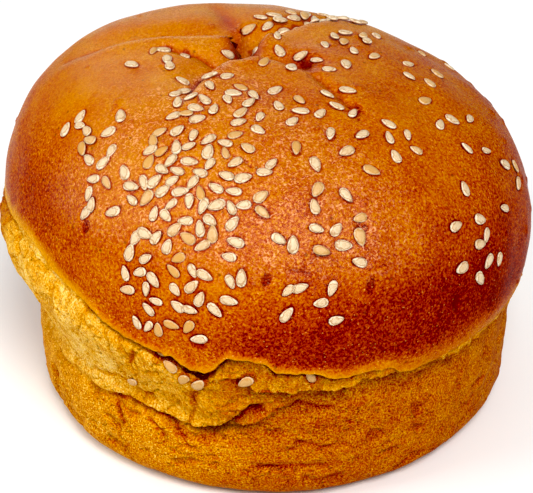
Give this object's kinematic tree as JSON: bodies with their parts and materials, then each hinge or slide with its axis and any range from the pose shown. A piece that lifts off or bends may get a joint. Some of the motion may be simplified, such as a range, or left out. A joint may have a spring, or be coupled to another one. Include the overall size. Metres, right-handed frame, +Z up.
{
  "type": "sesame burger bun",
  "caption": "Whole uncut burger bun: round bread roll with a glossy brown domed crown, sesame seeds, a torn pale side and a flat sole to stand on",
  "frame": {"origin": "under the middle of the bun's box, on the surface it stands on", "axes": "+Z up from the sole to the crown, -Y to the front that shows most seeds, -X to the side that tore open furthest"},
  "size_m": [0.0976, 0.0948, 0.0684],
  "materials": {
    "crust": "baked, egg-washed crust with a soft gloss",
    "sesame": "dry hulled seed"
  },
  "bodies": {
    "root": {"bun": "crust"}
  },
  "joints": []
}
